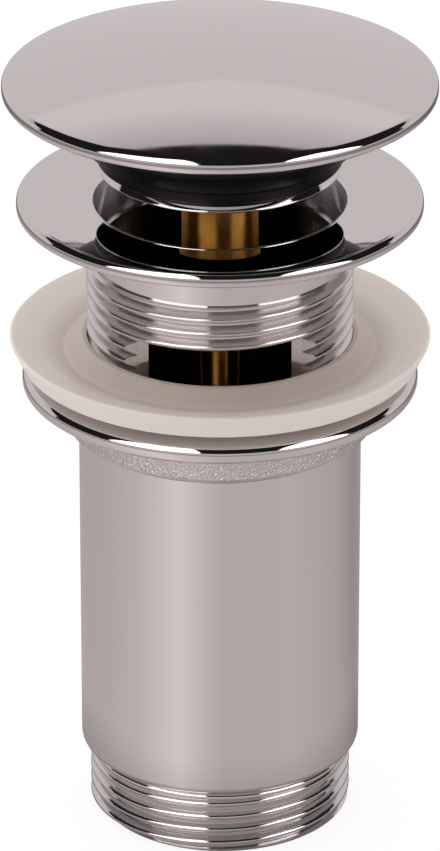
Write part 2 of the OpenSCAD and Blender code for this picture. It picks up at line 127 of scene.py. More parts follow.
class BodySizes(PropertyGroup):
    """Sizes of the waste body."""
    thread_r: length("Thread radius", 0.020955, "Radius over the crests of the body thread")
    neck_r: length("Neck radius", 0.0198, "Radius of the plain neck under the flange")
    neck_len: length("Neck length", 0.0083, "From the flange underside to the first thread")
    bell_r: length("Bell radius", 0.0046, "Radius of the bell between neck and flange")
    bore_r: length("Bore radius", 0.0185, "Radius of the waterway")
    flange_t: length("Flange thickness", 0.0023, "Thickness of the basin flange at its rim")
    round_top: length("Upper rounding", 0.0011, "Rounding of the flange rim above")
    round_low: length("Lower rounding", 0.0007, "Rounding of the flange rim below")
    dish: length("Dish", 0.0009, "Fall of the flange top from rim to throat")
    throat_r: length("Throat radius", 0.0198, "Radius of the throat edge")
    throat_step: length("Throat step", 0.0004, "Width of the ledge in the throat")
    throat_taper: length("Throat taper", 0.0046, "Depth of the tapered part of the throat")
    ledge_depth: length("Ledge depth", 0.0071, "Depth of the ledge below the throat edge")
    edge_round: length("Throat edge", 0.00025, "Rounding of the throat edge")
    flat_d: length("Milled flat", 0.0148, "Distance of the milled flats from the axis")
    window_drop: length("Window drop", 0.0156, "From the flange underside to the top of the window")
    window_h: length("Window height", 0.0125, "Height of the overflow window")
    arm_t: length("Arm thickness", 0.003, "Thickness of a spider arm")
    arm_h: length("Arm height", 0.0042, "Height of a spider arm")
    arm_lift: length("Arm lift", 0.001, "Height of the spider above the end of the body")
    hub_r: length("Hub radius", 0.0062, "Radius of the spider hub")


class TailSizes(PropertyGroup):
    """Sizes of the tailpiece."""
    thread_r: length("Thread radius", 0.020955, "Radius over the crests of the outlet thread")
    thread_len: length("Thread length", 0.011, "Length of the outlet thread")
    bore_r: length("Outlet bore", 0.0179, "Radius of the waterway in the outlet")
    tube_r: length("Tube radius", 0.022345, "Radius of the polished tube")
    end_round: length("Tube end rounding", 0.0013, "Rounding at the lower end of the tube")
    collar_z: length("Collar height", 0.0665, "Height of the collar's lower edge")
    collar_step: length("Collar step", 0.00215, "Step of the cast collar outside the tube")
    collar_draft: length("Collar draft", 0.0008, "Draft of the collar over its height")
    flange_z: length("Flange height", 0.0734, "Height of the flange underside")
    rim_top: length("Upper rounding", 0.0014, "Rounding of the flange rim above")
    bead: length("Bead rounding", 0.0006, "Rounding of the bead above the outlet thread")
    bead_drop: length("Bead drop", 0.0011, "Depth of the bead's middle under the end of the tube")
    rim_drop: length("Rim drop", 0.0033, "Depth of the rounding's middle under the gasket's seat")
    cone_r: length("Cone radius", 0.0247, "Radius where the flange's sloping top meets the seat")
    rim_low: length("Lower rounding", 0.0012, "Rounding of the flange rim below")
    socket_r: length("Socket radius", 0.021045, "Radius of the screw socket")
    socket_len: length("Socket length", 0.0366, "Length of the screw socket")
    ledge: length("Socket ledge", 0.0013, "Ledge below the screw socket")
    floor_len: length("Outlet floor", 0.0035, "Height of the narrow outlet above the thread")


class GasketSizes(PropertyGroup):
    """Sizes of the backing gasket."""
    hole_r: length("Hole radius", 0.02102, "Radius of the hole")
    lip_h: length("Lip height", 0.0041, "Height of the outer lip")
    rim_h: length("Rim height", 0.004, "Height of the inner rim on the thread")
    rim_w: length("Rim width", 0.0009, "Width of the inner rim")
    groove_r: length("Groove radius", 0.0248, "Radius of the groove between rim and lip")
    floor: length("Floor", 0.0015, "Thickness under the groove")
    lip_round: length("Lip rounding", 0.00035, "Rounding of the outer lip")
    foot_r: length("Foot radius", 0.0314, "Radius of the foot under the overhanging lip")


class ThreadSizes(PropertyGroup):
    """Sizes of the threads."""
    pipe_pitch: length("Pipe thread pitch", 0.002309, "Pitch of the body and outlet threads")
    pipe_depth: length("Pipe thread depth", 0.001479, "Depth of the body and outlet threads")
    rod_pitch: length("Rod thread pitch", 0.001, "Pitch of the guide rod thread")
    rod_depth: length("Rod thread depth", 0.00055, "Depth of the guide rod thread")
    turn_steps: IntProperty(name="Steps", description="Steps in one turn of a thread", default=120, min=24)


class Finishes(PropertyGroup):
    """Colours of the finishes."""
    chrome: colour("Chrome", linear("DAD8D8"), "Reflected colour of the plating")
    brass: colour("Brass", linear("E4AA52"), "Reflected colour of turned brass")
    # Painted shade: the waterway's brass almost black for the shade inside the bore
    inner: colour("Inner brass", linear("3C3229"), "Tarnished brass where the plating doesn't reach")
    rubber: colour("Rubber", linear("040404"), "Black seal rubber")
    gasket: colour("Gasket", linear("F0E5DE"), "Warm white gasket")
    # Painted shade: the gasket's colour near its hole, where the body and flange above shade it
    gasket_shade: colour("Gasket hole", linear("D0C1B7"), "Gasket near its hole")
    acetal: colour("Acetal", linear("E9E4D6"), "Ivory moulded inserts")
    steel: colour("Spring steel", linear("B4B4B2"), "Drawn spring wire")


class StageSizes(PropertyGroup):
    """Camera and surroundings."""
    camera_distance: length("Camera distance", 1.0, "From the camera to the middle of the object")
    camera_height: FloatProperty(name="Camera angle", description="Angle of the camera above the horizon",
                                 default=math.radians(25.2), subtype="ANGLE")
    target_z: length("Target height", 0.0657, "Height of the point the camera looks at")
    lens: number("Lens", 266.93, "Focal length in millimetres")
    floor_size: length("Floor size", 6.0, "Width of the pale floor")
    floor_colour: colour("Floor", linear("EFEFEF"), "Pale floor")
    floor_tint: colour("Floor tint", linear("FFF2F1"), "Tint of the floor in the plating")
    wall_tint: colour("Wall tint", linear("FFF5F6"), "Tint of the back wall in the plating")
    light_spread: length("Light spread", 0.0112, "Distance before the axis where the floor light fans out")
    panel_light: number("Panel light", 3.0, "Brightness of the front panels")
    front_light: number("Front light", 0.58, "Brightness of the front below the panels")
    dark_light: number("Dark light", 0.012, "Brightness of the unlit room")


# Profiles and turned pieces

def arc(r0, z0, radius, start, end, count=8):
    """Points of radius and height along an arc, angles in degrees."""
    angles = [math.radians(start + (end - start) * i / count) for i in range(count + 1)]
    return [(r0 + radius * math.cos(a), z0 + radius * math.sin(a)) for a in angles]


def trace(name, points):
    """A new piece in edit mode whose only edges follow the points in the XZ plane."""
    bpy.ops.object.select_all(action="DESELECT")
    bpy.ops.mesh.primitive_plane_add(size=0.01)
    piece = bpy.context.object
    piece.name = name
    piece.data.name = name
    bpy.ops.object.mode_set(mode="EDIT")
    bpy.ops.mesh.select_mode(type="VERT")
    bpy.ops.mesh.select_all(action="SELECT")
    bpy.ops.mesh.merge(type="CENTER")
    bpy.ops.transform.translate(value=(points[0][0], 0.0, points[0][1]))
    for (r0, z0), (r1, z1) in zip(points, points[1:]):
        bpy.ops.mesh.extrude_region_move(TRANSFORM_OT_translate={"value": (r1 - r0, 0.0, z1 - z0)})
    return piece


def close_seams():
    """Merges doubled points of the piece in edit mode, turns its faces outwards and leaves edit mode."""
    bpy.ops.mesh.select_all(action="SELECT")
    bpy.ops.mesh.remove_doubles(threshold=1e-6)
    bpy.ops.mesh.select_all(action="SELECT")
    bpy.ops.mesh.normals_make_consistent(inside=False)
    bpy.ops.object.mode_set(mode="OBJECT")


def turned(name, points, steps=192, loop=True):
    """A piece turned round the Z axis; an outline that starts and ends on the axis is no loop."""
    piece = trace(name, points + points[:1] if loop else points)
    bpy.ops.mesh.select_all(action="SELECT")
    bpy.ops.mesh.spin(steps=steps, angle=2 * math.pi, center=(0, 0, 0), axis=(0, 0, 1), use_auto_merge=True)
    close_seams()
    return piece


def wound(name, points, pitch, turns, steps):
    """A closed outline wound round the Z axis as a right handed helix, with filled ends."""
    piece = trace(name, points + points[:1])
    bpy.ops.mesh.select_all(action="SELECT")
    bpy.ops.mesh.remove_doubles(threshold=1e-6)
    bpy.ops.object.mode_set(mode="OBJECT")
    winding = piece.modifiers.new("Winding", "SCREW")
    winding.axis = "Z"
    winding.angle = 2 * math.pi
    winding.screw_offset = pitch
    winding.iterations = turns
    winding.steps = steps
    winding.render_steps = steps
    winding.use_merge_vertices = False
    bpy.ops.object.modifier_apply(modifier=winding.name)
    bpy.ops.object.mode_set(mode="EDIT")
    bpy.ops.mesh.select_all(action="SELECT")
    bpy.ops.mesh.fill_holes(sides=0)
    close_seams()
    return piece


def combine(piece, tool, operation):
    """Boolean of a piece with a tool, which is then removed."""
    bpy.ops.object.select_all(action="DESELECT")
    bpy.context.view_layer.objects.active = piece
    piece.select_set(True)
    step = piece.modifiers.new("Cut", "BOOLEAN")
    step.operation = operation
    step.solver = "EXACT"
    step.object = tool
    bpy.ops.object.modifier_apply(modifier=step.name)
    bpy.data.objects.remove(tool, do_unlink=True)


def block(name, low, high):
    """A box between two corners, as a cutting tool or a blank."""
    bpy.ops.object.select_all(action="DESELECT")
    bpy.ops.mesh.primitive_cube_add(size=1.0)
    piece = bpy.context.object
    piece.name = name
    size = [b - a for a, b in zip(low, high)]
    middle = [(a + b) / 2 for a, b in zip(low, high)]
    bpy.ops.object.mode_set(mode="EDIT")
    bpy.ops.transform.resize(value=size)
    bpy.ops.transform.translate(value=middle)
    bpy.ops.object.mode_set(mode="OBJECT")
    return piece


def join(piece, others):
    """Joins other pieces into one."""
    bpy.ops.object.select_all(action="DESELECT")
    for other in others:
        other.select_set(True)
    piece.select_set(True)
    bpy.context.view_layer.objects.active = piece
    bpy.ops.object.join()


def thread(name, crest_r, depth, pitch, low, high, steps, chamfer):
    """A thread ridge between two heights, sunk a little into its root cylinder and chamfered at both ends."""
    root_r = crest_r - depth
    sink = 0.12 * depth
    crown = 0.2 * pitch
    foot = 0.46 * pitch
    toe = 0.452 * pitch
    # The flanks of a 55 degree thread leave the rounded crest 62.5 degrees from its middle
    half = [(root_r - sink, -foot), (root_r, -toe)] + arc(crest_r - crown, 0.0, crown, -62.5, 0, 6)
    outline = half + [(r, -z) for r, z in reversed(half[:-1])]
    start = low - pitch
    turns = math.ceil((high - low) / pitch) + 2
    ridge = wound(name, [(r, z + start) for r, z in outline], pitch, turns, steps)
    inner_r = root_r - 2 * sink
    outer_r = crest_r + 0.02 * depth
    envelope = turned(name + "_ends", [
        (inner_r, low), (outer_r - chamfer, low), (outer_r, low + chamfer),
        (outer_r, high - chamfer), (outer_r - chamfer, high), (inner_r, high)], steps=steps)
    combine(ridge, envelope, "INTERSECT")
    return ridge


def paint_inside(piece, radius, low, high, index):
    """Gives the inward faces within a radius and between two heights another of the piece's materials."""
    for face in piece.data.polygons:
        spot = face.center
        inward = face.normal.x * spot.x + face.normal.y * spot.y < 0
        if inward and math.hypot(spot.x, spot.y) < radius and low < spot.z < high:
            face.material_index = index


def finish_piece(piece, body, nodes, materials, angle=32):
    """Shades, paints and places a finished piece on its body, in place of its nodes."""
    bpy.ops.object.select_all(action="DESELECT")
    bpy.context.view_layer.objects.active = piece
    piece.select_set(True)
    bpy.ops.object.shade_smooth_by_angle(angle=math.radians(angle))
    for material in materials:
        piece.data.materials.append(material)
    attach(piece, body)
    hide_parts(*nodes)


# Finishes

MM_PER_M = 1000.0
MATH = "ShaderNodeMath"


def add_node(tree, kind, *values, **named):
    """Adds a node with its settings and links.

    Values fill its sockets in order or by name, with underscores for spaces. Lower case names are settings.
    A value is a plain one, another node's output, or another node, which stands for its first output.
    """
    node = tree.nodes.new(kind)
    places = list(enumerate(values))
    for name, value in named.items():
        if name.islower():
            setattr(node, name, value)
        else:
            places.append((name.replace("_", " "), value))
    for place, value in places:
        if isinstance(value, bpy.types.Node):
            value = value.outputs[0]
        if isinstance(value, bpy.types.NodeSocket):
            tree.links.new(value, node.inputs[place])
        else:
            node.inputs[place].default_value = value
    return node


def new_finish(name, base, roughness, metallic=0.0):
    """A material with one principled shader; returns material, tree and shader."""
    material = bpy.data.materials.new(name)
    material.use_nodes = True
    tree = material.node_tree
    shader = tree.nodes["Principled BSDF"]
    shader.inputs["Base Color"].default_value = (*base, 1.0)
    shader.inputs["Roughness"].default_value = roughness
    shader.inputs["Metallic"].default_value = metallic
    return material, tree, shader


def grain(tree, shader, size_mm, low, high, bump, distance, detail=3.0, stretch=1.0):
    """Noise of one grain size that varies roughness between low and high and raises a small bump.

    A stretch below one draws the grain out across the axis, as a lathe tool does round a part.
    """
    place = add_node(tree, "ShaderNodeTexCoord")
    squeeze = add_node(tree, "ShaderNodeMapping", place.outputs["Object"], Scale=(stretch, stretch, 1.0))
    noise = add_node(tree, "ShaderNodeTexNoise", squeeze, Scale=MM_PER_M / size_mm, Detail=detail,
                     Roughness=0.55)
    spread = add_node(tree, "ShaderNodeMapRange", noise, From_Min=0.3, From_Max=0.7, To_Min=low, To_Max=high)
    raised = add_node(tree, "ShaderNodeBump", Strength=bump, Distance=distance, Height=noise)
    tree.links.new(spread.outputs["Result"], shader.inputs["Roughness"])
    tree.links.new(raised.outputs["Normal"], shader.inputs["Normal"])


def tool_marks(tree, shader):
    """Rings left by a lathe tool, which draw reflections out along the axis."""
    tangent = add_node(tree, "ShaderNodeTangent", direction_type="RADIAL", axis="Z")
    quarter_turn = 0.25
    shader.inputs["Anisotropic"].default_value = 1.0
    shader.inputs["Anisotropic Rotation"].default_value = quarter_turn
    tree.links.new(tangent.outputs["Tangent"], shader.inputs["Tangent"])


def polished_chrome(finishes, name):
    """Bright chromium over polished brass: a clear mirror with the faint ripple of a buffed part."""
    material, tree, shader = new_finish(name, finishes.chrome, 0.04, 1.0)
    grain(tree, shader, size_mm=3.85, low=0.025, high=0.06, bump=0.02, distance=0.00005)
    return material


def cast_chrome(finishes):
    """Chromium plated over an unpolished casting: the sparkling grit of a sand mould."""
    material, tree, shader = new_finish("cast_chrome", finishes.chrome, 0.2, 1.0)
    grain(tree, shader, size_mm=0.4545, low=0.12, high=0.3, bump=1.0, distance=0.0004, detail=2.0)
    return material


def turned_chrome(finishes, name, roughness, ring):
    """Plating over cut metal, which keeps the rings of the tool: crisp streaks along the axis."""
    material, tree, shader = new_finish(name, finishes.chrome, roughness, 1.0)
    # Real rings are about 0.1 mm apart, too fine to show, and are drawn three times as coarse
    grain(tree, shader, size_mm=1 / 3, low=roughness - 0.03, high=roughness + 0.03, bump=ring,
          distance=0.00012, stretch=0.02)
    tool_marks(tree, shader)
    return material


def bore_shade_brass(finishes, name):
    """Brass of the waterway, where the plating doesn't reach: painted almost black as shade, with dull
    patches.
    """
    material, tree, shader = new_finish(name, finishes.inner, 0.3, 1.0)
    grain(tree, shader, size_mm=1.43, low=0.22, high=0.4, bump=0.05, distance=0.00005)
    return material


def turned_brass(finishes):
    """Unplated brass with the rings of a lathe tool: golden streaks along the axis."""
    material, tree, shader = new_finish("turned_brass", finishes.brass, 0.4, 1.0)
    # The rings are drawn as coarse as those of the plated metal
    grain(tree, shader, size_mm=1 / 3, low=0.34, high=0.46, bump=0.3, distance=0.00008, stretch=0.03)
    tool_marks(tree, shader)
    return material


def seal_rubber(finishes, name, gloss):
    """Moulded black rubber with a dull, faintly mottled skin; without gloss, the black also serves as painted
    shade.
    """
    material, tree, shader = new_finish(name, finishes.rubber, 0.42)
    shader.inputs["Specular IOR Level"].default_value = gloss
    grain(tree, shader, size_mm=0.714, low=0.36, high=0.5, bump=0.05, distance=0.00003)
    return material


def gasket_plastic(finishes):
    """Warm white moulded gasket that lets a little light through, with painted shade towards its hole."""
    material, tree, shader = new_finish("gasket_plastic", finishes.gasket, 0.45)
    shader.inputs["Subsurface Weight"].default_value = 0.25
    shader.inputs["Subsurface Radius"].default_value = (0.004, 0.003, 0.0025)
    shader.inputs["Subsurface Scale"].default_value = 0.5
    grain(tree, shader, size_mm=2.38, low=0.38, high=0.52, bump=0.05, distance=0.0001)
    # Painted shade: the colour darkens from the outer dish in to the hole, for the shade under the body and
    # flange
    shade_r = 0.0235
    unshaded_r = 0.0285
    place = add_node(tree, "ShaderNodeTexCoord")
    flat = add_node(tree, "ShaderNodeVectorMath", place.outputs["Object"], (1.0, 1.0, 0.0),
                    operation="MULTIPLY")
    reach = add_node(tree, "ShaderNodeVectorMath", flat, operation="LENGTH")
    outward = add_node(tree, "ShaderNodeMapRange", reach.outputs["Value"], From_Min=shade_r, From_Max=unshaded_r)
    tone = add_node(tree, "ShaderNodeValToRGB", outward)
    tone.color_ramp.elements[0].color = (*finishes.gasket_shade, 1.0)
    tone.color_ramp.elements[1].color = (*finishes.gasket, 1.0)
    tree.links.new(tone.outputs["Color"], shader.inputs["Base Color"])
    return material


def acetal_plastic(finishes):
    """Ivory acetal of the moulded inserts, with a waxy sheen."""
    material, tree, shader = new_finish("acetal_plastic", finishes.acetal, 0.35)
    grain(tree, shader, size_mm=1.11, low=0.3, high=0.42, bump=0.04, distance=0.00005)
    return material


def spring_steel(finishes):
    """Drawn steel wire and stamped clip, grey and slightly dull."""
    material, tree, shader = new_finish("spring_steel", finishes.steel, 0.3, 1.0)
    grain(tree, shader, size_mm=0.667, low=0.22, high=0.38, bump=0.08, distance=0.00004)
    return material


# Pieces

class BASIN_WASTE_OT_cap(Operator):
    """Turns the domed push cap with its ring wall and threaded hub"""
    bl_idname = "basin_waste.cap"
    bl_label = "Push cap"

    def execute(self, context):
        sizes = context.scene.plug_sizes
        cap_r = CAP_HIGH[0]
        web_top = CAP_LOW[2]
        rim_low = web_top + sizes.stand
        shoulder = rim_low + sizes.rim_height
        edge_r = cap_r - sizes.round_top
        rise = CAP_HIGH[2] - shoulder
        reach = (edge_r ** 2 + rise ** 2) / (2 * rise)
        dome_r = reach + sizes.round_top
        dome_z = CAP_HIGH[2] - dome_r
        roof_r = dome_r - sizes.wall
        inner_r = cap_r - sizes.wall
        stud_room = 0.0008
        bore_top = SLEEVE_HIGH[2] + stud_room

        def roof(r):
            return (r, dome_z + math.sqrt(roof_r ** 2 - r ** 2))

        def roof_run(r_from, r_to, count):
            return [roof(r_from + (r_to - r_from) * i / count) for i in range(count + 1)]

        bore_r = sizes.stud_r + HAIR
        wall_in = sizes.ring_wall_r - sizes.ring_wall_t
        edge = math.degrees(math.acos(edge_r / reach))
        outline = [(0.0, bore_top), (bore_r, bore_top), (bore_r, web_top), (sizes.hub_r, web_top)]
        outline += roof_run(sizes.hub_r, wall_in, 6)
        outline += [(wall_in, web_top), (sizes.ring_wall_r, web_top)]
        outline += roof_run(sizes.ring_wall_r, inner_r, 14)
        outline += [(inner_r, rim_low)]
        outline += arc(cap_r - sizes.round_low, rim_low + sizes.round_low, sizes.round_low, -90, 0, 8)
        outline += arc(edge_r, shoulder - sizes.round_top, sizes.round_top, 0, edge, 18)
        outline += arc(0.0, dome_z, dome_r, edge, 90, 48)[1:]
        cap = turned("push_cap", outline, steps=256, loop=False)
        finish_piece(cap, "plug", ["cap"],
                     [polished_chrome(context.scene.finishes, "cap_chrome")])
        return {"FINISHED"}


class BASIN_WASTE_OT_seal(Operator):
    """Turns the rubber cup seal and the plated retainer under it"""
    bl_idname = "basin_waste.seal"
    bl_label = "Seal and retainer"

    def execute(self, context):
        sizes = context.scene.plug_sizes
        finishes = context.scene.finishes
        hole_r = sizes.stud_r + HAIR
        low = SEAL_LOW[2]
        web_top = low + sizes.seal_web_t
        tip = sizes.seal_lip_t / 2
        foot = 0.0003
        cup_r = sizes.seal_foot_r - sizes.seal_lip_t * 0.7
        outline = [(hole_r, low)]
        outline += arc(sizes.seal_foot_r - foot, low + foot, foot, -90, 0, 4)
        outline += [(sizes.seal_foot_r, low + sizes.seal_foot_h),
                    (sizes.seal_knee_r, low + sizes.seal_knee_h)]
        outline += arc(sizes.seal_lip_r - tip, SEAL_HIGH[2] - tip, tip, -35, 145, 12)
        outline += [(cup_r, web_top), (hole_r, web_top)]
        seal = turned("cup_seal", outline)
        finish_piece(seal, "plug", ["plug_seal"],
                     [seal_rubber(finishes, "seal_rubber", gloss=0.2)])
        low = RETAINER_LOW[2]
        rim_r = sizes.washer_r
        edge = 0.00025
        rim_inside = rim_r - 0.0014
        rim_shoulder = rim_r - 0.001
        outline = [(hole_r, low), (rim_inside, low)]
        outline += arc(rim_r - edge, low - sizes.washer_drop + edge, edge, -110, 36, 10)
        outline += [(rim_shoulder, RETAINER_HIGH[2]), (hole_r, RETAINER_HIGH[2])]
        retainer = turned("seal_washer", outline)
        # Painted shade: the retainer's downward faces are matte black with no reflection at all
        underside = -0.5
        for face in retainer.data.polygons:
            face.material_index = int(face.normal.z < underside)
        finish_piece(retainer, "plug", ["seal_retainer"],
                     [polished_chrome(finishes, "retainer_chrome"),
                      seal_rubber(finishes, "washer_painted_shade", gloss=0.0)])
        return {"FINISHED"}


class BASIN_WASTE_OT_sleeve(Operator):
    """Turns the plunger sleeve and cuts the thread of the guide rod"""
    bl_idname = "basin_waste.sleeve"
    bl_label = "Sleeve and rod"

    def execute(self, context):
        sizes = context.scene.plug_sizes
        threads = context.scene.thread_sizes
        brass = turned_brass(context.scene.finishes)
        radius = SLEEVE_HIGH[0]
        low = SLEEVE_LOW[2]
        top = RETAINER_LOW[2]
        lead = 0.0005
        outline = [(0.0, top - sizes.sleeve_end_t), (sizes.sleeve_bore_r, top - sizes.sleeve_end_t),
                   (sizes.sleeve_bore_r, low), (radius - lead, low), (radius, low + lead), (radius, top),
                   (sizes.stud_r, top), (sizes.stud_r, SLEEVE_HIGH[2] - lead),
                   (sizes.stud_r - lead, SLEEVE_HIGH[2]), (0.0, SLEEVE_HIGH[2])]
        sleeve = turned("plunger_sleeve", outline, steps=128, loop=False)
        finish_piece(sleeve, "plug", ["sleeve"], [brass])

        rod_r = ROD_HIGH[0]
        shoulder_rise = 0.00395
        shoulder = SLEEVE_LOW[2] + shoulder_rise
        journal_r = 0.002
        groove_r = 0.0016
        root_r = rod_r - threads.rod_depth
        plain = NUT_HIGH[2] + 2 * threads.rod_pitch
        outline = [(0.0, ROD_LOW[2]), (root_r, ROD_LOW[2]), (root_r, plain),
                   (rod_r, plain + threads.rod_depth), (rod_r, shoulder), (journal_r, shoulder),
                   (journal_r, CLIP_LOW[2]), (groove_r, CLIP_LOW[2]), (groove_r, CLIP_HIGH[2]),
                   (journal_r, CLIP_HIGH[2]), (journal_r, ROD_HIGH[2] - lead),
                   (journal_r - lead, ROD_HIGH[2]), (0.0, ROD_HIGH[2])]
        rod = turned("threaded_rod", outline, steps=64, loop=False)
        ridge = thread("rod_thread", rod_r, threads.rod_depth, threads.rod_pitch, ROD_LOW[2], plain,
                       steps=48, chamfer=0.0004)
        join(rod, [ridge])
        finish_piece(rod, "waste", ["guide_rod"], [brass])
        return {"FINISHED"}


class BASIN_WASTE_OT_body(Operator):
    """Turns, threads and mills the waste body and adds the spider"""
    bl_idname = "basin_waste.body"
    bl_label = "Waste body"

    def execute(self, context):
        sizes = context.scene.body_sizes
        threads = context.scene.thread_sizes
        finishes = context.scene.finishes
        low = BODY_LOW[2]
        rim = BODY_HIGH[2]
        flange_r = BODY_HIGH[0]
        under = rim - sizes.flange_t
        throat = rim - sizes.dish
        ledge = throat - sizes.ledge_depth
        thread_top = under - sizes.neck_len
        root_r = sizes.thread_r - threads.pipe_depth
        step_r = sizes.bore_r + sizes.throat_step
        edge = sizes.edge_round
        outline = [(sizes.bore_r, low), (root_r, low), (root_r, thread_top), (sizes.neck_r, thread_top)]
        outline += arc(sizes.neck_r + sizes.bell_r, under - sizes.bell_r, sizes.bell_r, 180, 90, 16)
        outline += arc(flange_r - sizes.round_low, under + sizes.round_low, sizes.round_low, -90, 0, 8)
        outline += arc(flange_r - sizes.round_top, rim - sizes.round_top, sizes.round_top, 0, 90, 14)
        outline += arc(sizes.throat_r + edge, throat - 0.4 * edge, edge, 25, 180, 10)
        outline += [(step_r, throat - sizes.throat_taper), (step_r, ledge), (sizes.bore_r, ledge)]
        body = turned("slotted_body", outline, steps=256)
        ridge = thread("body_thread", sizes.thread_r, threads.pipe_depth, threads.pipe_pitch, low, thread_top,
                       steps=threads.turn_steps, chamfer=0.0008)
        mill_room = 0.002
        wide = sizes.thread_r + mill_room
        window_top = under - sizes.window_drop
        for piece, flat_d in ((body, sizes.flat_d), (ridge, sizes.flat_d - HAIR)):
            for side in (-1, 1):
                near, far = sorted((side * flat_d, side * wide))
                mill = block("mill", (-wide, near, window_top - sizes.window_h), (wide, far, window_top))
                combine(piece, mill, "DIFFERENCE")
        hub_low = low + sizes.arm_lift
        hub_top = NUT_LOW[2]
        rod_r = ROD_HIGH[0]
        bevel = 0.0004
        hub = turned("hub", [
            (rod_r, hub_low), (sizes.hub_r - bevel, hub_low), (sizes.hub_r, hub_low + bevel),
            (sizes.hub_r, hub_top - bevel), (sizes.hub_r - bevel, hub_top), (rod_r, hub_top)], steps=64)
        arms = [self.arm(sizes, hub_low, angle) for angle in (45, 135, 225, 315)]
        body.data.materials.append(polished_chrome(finishes, "body_chrome"))
        body.data.materials.append(bore_shade_brass(finishes, "body_bore"))
        body.data.materials.append(turned_chrome(finishes, "throat_chrome", roughness=0.22, ring=0.2))
        paint_inside(body, sizes.bore_r + 2 * MARGIN, low, ledge, 1)
        paint_inside(body, sizes.throat_r, ledge, throat - 3 * MARGIN, 2)
        ridge.data.materials.append(turned_chrome(finishes, "body_thread_chrome", roughness=0.18, ring=0.5))
        join(body, [ridge, hub] + arms)
        finish_piece(body, "waste", ["waste_body"], [])
        return {"FINISHED"}

    def arm(self, sizes, low, angle):
        """One arm of the spider with a rounded upper edge."""
        half = sizes.arm_t / 2
        rounding = half * 0.96
        sunk_in_wall = 0.0003
        sunk_in_hub = 0.001
        top = low + sizes.arm_h
        arm = block("arm", (sizes.hub_r - sunk_in_hub, -half, low), (sizes.bore_r + sunk_in_wall, half, top))
        bpy.ops.object.mode_set(mode="EDIT")
        bpy.ops.mesh.select_all(action="DESELECT")
        bpy.ops.mesh.select_mode(type="EDGE")
        bpy.ops.object.mode_set(mode="OBJECT")
        near = 1e-6
        for edge in arm.data.edges:
            ends = [arm.data.vertices[i].co for i in edge.vertices]
            edge.select = all(abs(end.z - top) < near for end in ends) and abs(ends[0].y - ends[1].y) < near
        bpy.ops.object.mode_set(mode="EDIT")
        bpy.ops.mesh.bevel(offset=rounding, segments=6, affect="EDGES")
        bpy.ops.mesh.select_all(action="SELECT")
        bpy.ops.transform.rotate(value=-math.radians(angle), orient_axis="Z", center_override=(0, 0, 0))
        bpy.ops.object.mode_set(mode="OBJECT")
        return arm


class BASIN_WASTE_OT_gasket(Operator):
    """Turns the white backing gasket"""
    bl_idname = "basin_waste.gasket"
    bl_label = "Backing gasket"

    def execute(self, context):
        sizes = context.scene.gasket_sizes
        seat = GASKET_LOW[2]
        top = seat + sizes.rim_h
        radius = GASKET_HIGH[0]
        lip = seat + sizes.lip_h
        foot = 0.0004
        hollow = 0.0006
        rim = 0.0003
        outline = [(sizes.hole_r, seat)]
        outline += arc(sizes.foot_r - foot, seat + foot, foot, -90, -28, 5)
        outline += arc(radius - sizes.lip_round, lip - sizes.lip_round, sizes.lip_round, -28, 105, 16)
        outline += arc(sizes.groove_r, seat + sizes.floor + hollow, hollow, -75, -135, 5)
        outline += arc(sizes.hole_r + sizes.rim_w - rim, top - rim, rim, 40, 90, 4)
        outline += [(sizes.hole_r, top)]
        gasket = turned("white_gasket", outline)
        finish_piece(gasket, "gasket", ["backing_gasket"],
                     [gasket_plastic(context.scene.finishes)])
        return {"FINISHED"}


